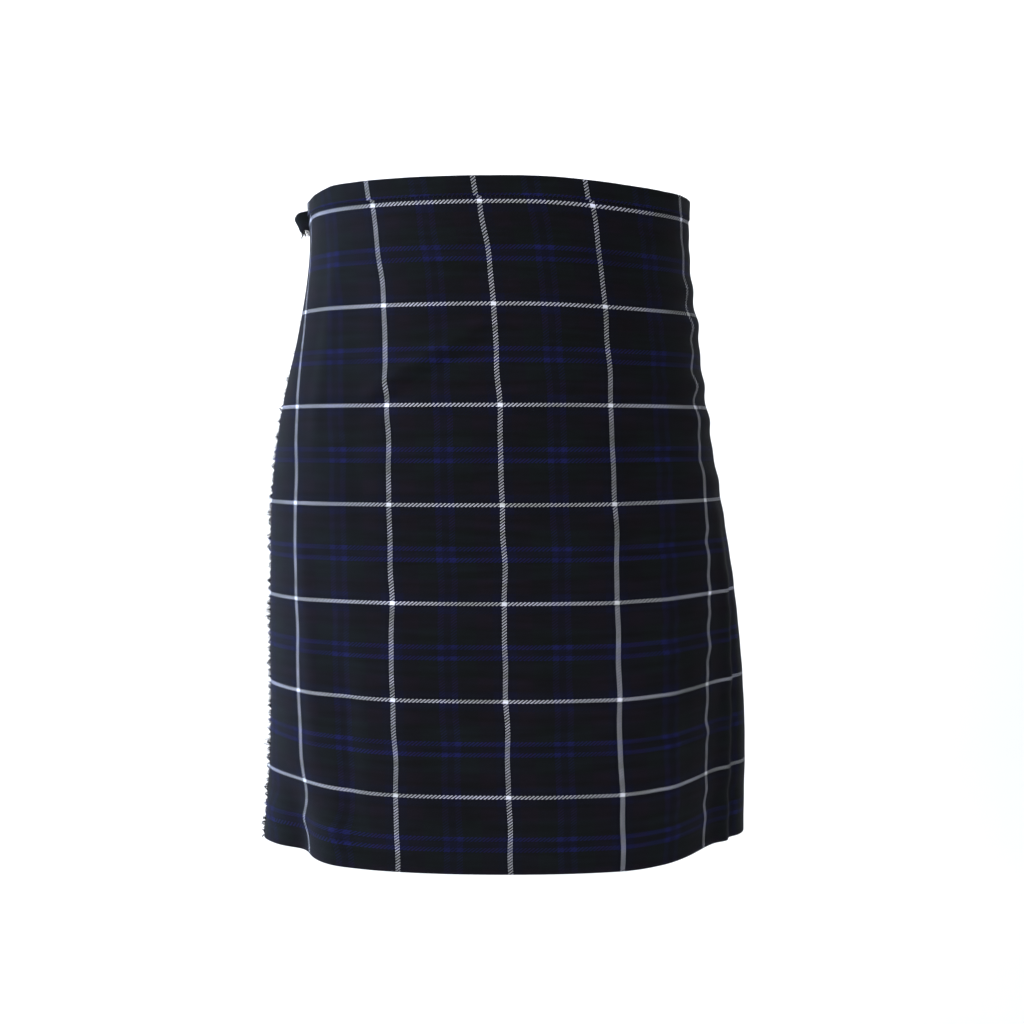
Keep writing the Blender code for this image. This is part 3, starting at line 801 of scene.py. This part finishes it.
def band_profile(outer, inner):
    """Drop and offset round the strip, from its outer lower edge over the rim to its inner lower edge."""
    turn = np.linspace(0, np.pi / 2, 5)[None, :]
    face = np.linspace(BAND_HEIGHT, CLOTH / 2 + RIM, 8)[None, :-1] + 0 * outer
    drop = [face, CLOTH / 2 + RIM * (1 - np.sin(turn)) + 0 * outer]
    offset = [outer + 0 * face, outer - RIM * (1 - np.cos(turn))]
    drop += [CLOTH / 2 + RIM * (1 - np.cos(turn)) + 0 * inner, face[:, ::-1]]
    offset += [inner + RIM * (1 - np.sin(turn)), inner + 0 * face]
    return np.concatenate(drop, axis=1), np.concatenate(offset, axis=1)


def band(name, along, outer, inner, u):
    """along, outer, inner and u run round the body; the strip's own section runs down the rows."""
    level = Levels([BAND_HEIGHT / 2])
    drop, offset = band_profile(outer.reshape(-1, 1) + LAP, inner.reshape(-1, 1) - LAP)
    rows = drop.shape[1]
    around = np.broadcast_to(along.reshape(1, -1), (rows, along.size))
    x = np.interp(around, level.along[0], level.x[0])
    y = np.interp(around, level.along[0], level.y[0])
    out_x = np.interp(around, level.along[0], level.out_x[0])
    out_y = np.interp(around, level.along[0], level.out_y[0])
    push = offset.T + BAND_PUCKER * ramp(drop.T, 0.012, 0.004) * waves(around, PUCKERS)
    points = np.stack([x + out_x * push, y + out_y * push, TOP - hung(x, drop.T)], axis=-1)
    step = np.hypot(np.diff(drop, axis=1), np.diff(offset, axis=1))
    v = BAND_START - np.concatenate([np.zeros((len(drop), 1)), np.cumsum(step, axis=1)], axis=1).T
    lean = BAND_LEAN * (1.0 - drop.T / BAND_HEIGHT)
    u = u.reshape(1, -1) + lean
    piece = sheet(name + "_cloth", points[::-1], u[::-1], v[::-1], TARTAN, even=False)
    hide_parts(name)
    return piece


def waistband():
    level = Levels([BAND_HEIGHT / 2])
    reveal, stack = level.reveal()[0, 0], level.stack()[0, 0]
    fold, last = level.fold()[0, 0], level.at_degrees(RIGHT_HIP)[0, 0]
    face = np.linspace(level.edge()[0, 0], fold + BAND_OVER, 240)[None, :]
    lift = apron_offset(level, face)
    deep = lift + (-stack - lift) * ramp(face, fold - 3.4 * reveal, fold - 2.9 * reveal)
    front = band("waistband_front", face, lift, deep, cloth_u(level, face) - BAND_SHIFT)
    around = np.linspace(fold + BAND_OVER + BAND_GAP, last + BAND_OVER, 300)[None, :]
    base = level.pleat_base(around)
    back = band("waistband_back", around, base, base - stack, around - BAND_SHIFT)
    inside = np.linspace(last + BAND_OVER + BAND_GAP, level.at_degrees(INNER_END)[0, 0], 200)[None, :]
    sunk = under_offset(level, inside)
    inside_u = inside - level.at_degrees(360.0) - BAND_SHIFT
    under = band("waistband_under", inside, sunk, sunk, inside_u)
    return front, back, under


bands = waistband()

# %% [markdown]
# ## The band's raw end
#
# The strip is a little longer than the apron. Its raw end is turned back past the fringe and left loose: a
# small tongue of cloth, curled outwards, with its last yarns pulled free.

# %% The band's raw end
TONGUE_COLUMNS = ("across", "out", "back", "drop")
TONGUE = (
    (0.0, -0.0010, -0.0030, 0.0000),
    (0.3, 0.0070, -0.0010, 0.0005),
    (0.6, 0.0135, 0.0010, 0.0020),
    (1.0, 0.0175, 0.0060, 0.0060),
)
TONGUE_TOP, TONGUE_LONG = 0.0105, 0.021
TONGUE_OUT = TONGUE[-1][1]
TONGUE_U, TONGUE_V = 0.024, 0.034  # where in the sett it lies
YARNS_EACH, TONGUE_YARN, TONGUE_YARN_LONG, TONGUE_YARN_ROW = 5, 0.00026, 0.0042, 0.055


def raw_end():
    """A tongue whose rows run outwards along a curve through the table, each lower and drawn in a little."""
    level = Levels([TONGUE_TOP])
    root = level.place(level.edge() + 0.006, np.array([[0.0020]]))[0, 0]
    _, out, back, drop = smooth_table(TONGUE, np.linspace(0, 1, 12))
    down = np.linspace(0, 1, 16)[:, None]
    narrow = 1.0 - 0.42 * down**2.5
    x = root[0] - out * narrow + 0.0008 * np.sin(7 * down + 4 * out / TONGUE_OUT)
    y = root[1] + back * narrow + 0 * down
    z = root[2] - drop - TONGUE_LONG * down * (1.0 - 0.25 * out / TONGUE_OUT)
    points = np.stack(np.broadcast_arrays(x, y, z), axis=-1)
    v = TONGUE_V - TONGUE_LONG * down[::-1]
    cloth = sheet("band_raw_end", points[::-1], TONGUE_U + out[None, :], v, TARTAN)
    random = np.random.default_rng(5)
    roots = np.repeat(points[-1, 1:], YARNS_EACH, axis=0)
    roots = roots + random.normal(0, 0.0004, roots.shape)
    ways = np.array([0.0, 0.0, -TONGUE_YARN_LONG]) + random.normal(0, 0.0012, roots.shape)
    bends = random.normal(0, 0.0012, roots.shape)
    rows = np.full(len(roots), TONGUE_YARN_ROW)
    loose = yarns("band_raw_end_yarns", roots, ways, bends, TONGUE_YARN, rows, YARN)
    return cloth, loose


tongue = raw_end()

# %% [markdown]
# ## Sewing
#
# The band is felled down by hand along its lower edge, in small slanted stitches of dark waxed thread.

# %% Sewing
def thread_material():
    graph = Graph("waxed_thread")
    graph.shader.inputs["Base Color"].default_value = (0.010, 0.011, 0.020, 1.0)
    graph.shader.inputs["Roughness"].default_value = 0.55
    where = graph.node("ShaderNodeTexCoord").outputs["Object"]
    relief = graph.node("ShaderNodeBump")
    relief.inputs["Strength"].default_value = 0.4
    relief.inputs["Distance"].default_value = 0.0001
    graph.plug(relief.inputs["Height"], graph.noise(where, 2500.0))
    graph.plug(graph.shader.inputs["Normal"], relief.outputs["Normal"])
    return graph.material


THREAD = thread_material()
STITCH_PITCH, STITCH_LONG, STITCH_THREAD = 0.0042, 0.0026, 0.00020
STITCH_BITE, STITCH_PROUD = 0.0009, 0.0004  # above and below the band's edge, and off the cloth


def felling(name, first, last, offset_of):
    """Slanted stitches over the band's lower edge, one each pitch, standing just proud of the cloth."""
    level = Levels([BAND_HEIGHT])
    along = np.arange(first, last, STITCH_PITCH)[None, :]
    lift = offset_of(level, along) + LAP + STITCH_PROUD
    slant = STITCH_LONG * 0.35
    upper = level.place(along + slant, lift, drop=BAND_HEIGHT - STITCH_BITE)[0]
    lower = level.place(along - slant, lift - LAP + STITCH_PROUD, drop=BAND_HEIGHT + STITCH_BITE)[0]
    no_rows = np.zeros(len(upper))
    piece = yarns(name, upper, lower - upper, 0 * upper, STITCH_THREAD, no_rows, THREAD, steps=3)
    return piece


def felled_band():
    level = Levels([BAND_HEIGHT])
    edge, fold, last = (at[0, 0] for at in (level.edge(), level.fold(), level.at_degrees(RIGHT_HIP)))
    front = felling("felling_front", edge + 0.004, fold - 0.002, apron_offset)
    back = felling("felling_back", fold + 0.004, last - 0.003, Levels.pleat_base)
    return front, back


fellings = felled_band()

# %% [markdown]
# ## Leather and metal
#
# The straps, tabs and keepers are vegetable-tanned leather, dyed black: a fine pebble grain with a dull wax
# polish. The buckles are nickel-plated wire. Their solids already have the right shape, so they only take a
# finish.

# %% Leather and metal
def leather_material():
    graph = Graph("black_leather")
    where = graph.node("ShaderNodeTexCoord").outputs["Object"]
    worn = ((0.3, (0.010, 0.009, 0.008)), (0.8, (0.030, 0.026, 0.022)))
    dye = graph.ramp(graph.noise(where, 60.0, 4.0), worn, "LINEAR")
    graph.plug(graph.shader.inputs["Base Color"], dye)
    cells = graph.node("ShaderNodeTexVoronoi", feature="DISTANCE_TO_EDGE")
    graph.plug(cells.inputs["Vector"], where)
    cells.inputs["Scale"].default_value = 1100.0
    relief = graph.node("ShaderNodeBump")
    relief.inputs["Strength"].default_value = 0.30
    relief.inputs["Distance"].default_value = 0.00015
    graph.plug(relief.inputs["Height"], cells.outputs["Distance"])
    graph.plug(graph.shader.inputs["Normal"], relief.outputs["Normal"])
    graph.shader.inputs["Roughness"].default_value = 0.42
    return graph.material


def metal_material():
    graph = Graph("nickel_wire")
    where = graph.node("ShaderNodeTexCoord").outputs["Object"]
    plating = ((0.3, (0.56, 0.55, 0.52)), (0.7, (0.70, 0.69, 0.66)))
    tone = graph.ramp(graph.noise(where, 240.0, 3.0), plating, "LINEAR")
    graph.plug(graph.shader.inputs["Base Color"], tone)
    graph.shader.inputs["Metallic"].default_value = 1.0
    graph.shader.inputs["Roughness"].default_value = 0.24
    return graph.material


LEATHER, NICKEL = leather_material(), metal_material()
for node, thing in frame["nodes"].items():
    if node.startswith(("strap_", "buckle_")):
        metal = node.startswith(("buckle_frame", "buckle_prong"))
        thing.material_slots[0].material = NICKEL if metal else LEATHER
        print(node, "is", "nickel" if metal else "leather")

# %% [markdown]

# %% [markdown]
# ## The studio
#
# A pale sweep behind and below, soft light all round, a broad key from the front left, a blue light that
# grazes the wearer's right side, and one turned on the sweep.

# %% The studio
FLOOR = TOP - 1.06  # a standing wearer's floor
CAMERA_BACK, CAMERA_RIGHT, CAMERA_DROP = 1.5, 0.0114, 0.236
LIGHT_COLUMNS = ("name", "place", "target", "size", "watts", "colour")
KILT_MIDDLE = (0.0, 0.0, TOP - LENGTH / 2)
LIGHTS = (
    ("key", (-1.3, -2.2, 0.5), KILT_MIDDLE, (1.6, 1.6), 54.0, (1.0, 1.0, 1.0)),
    ("graze_left", (-1.9, 0.20, 0.1), KILT_MIDDLE, (0.8, 1.8), 52.0, (0.55, 0.70, 1.0)),
    ("backdrop", (0.0, 0.9, 1.4), (0.0, 2.4, -0.2), (2.4, 0.8), 40.0, (1.0, 1.0, 1.0)),
)


def studio():
    t = np.linspace(0, 1, 25)
    turn = t * np.pi / 2
    floor_y = np.concatenate([[-6.0], 1.6 + 0.8 * np.sin(turn), [2.4]])
    floor_z = np.concatenate([[0.0], 0.8 - 0.8 * np.cos(turn), [5.0]]) + FLOOR
    x = np.array([-6.0, 6.0])
    points = np.stack(np.broadcast_arrays(x[None, :], floor_y[:, None], floor_z[:, None]), axis=-1)
    mesh = mesh_from("studio_sweep", points.reshape(-1, 3), grid_faces(len(floor_y), 2)[:, ::-1])
    sweep = bpy.data.objects.new("studio_sweep", mesh)
    bpy.context.scene.collection.objects.link(sweep)
    graph = Graph("studio_pale")
    graph.shader.inputs["Base Color"].default_value = (0.90, 0.90, 0.90, 1.0)
    graph.shader.inputs["Roughness"].default_value = 1.0
    mesh.materials.append(graph.material)


def light(name, place, target, size, watts, colour):
    lamp = bpy.data.lights.new(name, "AREA")
    lamp.energy = watts
    lamp.shape = "RECTANGLE"
    lamp.size, lamp.size_y = size
    lamp.color = colour
    thing = bpy.data.objects.new(name, lamp)
    bpy.context.scene.collection.objects.link(thing)
    thing.location = place
    thing.rotation_euler = (Vector(target) - Vector(place)).to_track_quat("-Z", "Y").to_euler()


def camera():
    data = bpy.data.cameras.new("camera")
    data.sensor_width = 36.0
    data.lens = 55.6
    thing = bpy.data.objects.new("camera", data)
    bpy.context.scene.collection.objects.link(thing)
    data.shift_y = -0.0654
    thing.location = (CAMERA_RIGHT, -CAMERA_BACK, TOP - CAMERA_DROP)
    thing.rotation_euler = (math.radians(90.0), 0.0, 0.0)
    bpy.context.scene.camera = thing


def world():
    data = bpy.data.worlds.new("world")
    bpy.context.scene.world = data
    data.use_nodes = True
    shade = data.node_tree.nodes["Background"]
    shade.inputs["Color"].default_value = (1.0, 1.0, 1.0, 1.0)
    shade.inputs["Strength"].default_value = 0.36


studio()
for row in LIGHTS:
    light(*row)
camera()
world()
bpy.context.scene.view_settings.view_transform = "Standard"
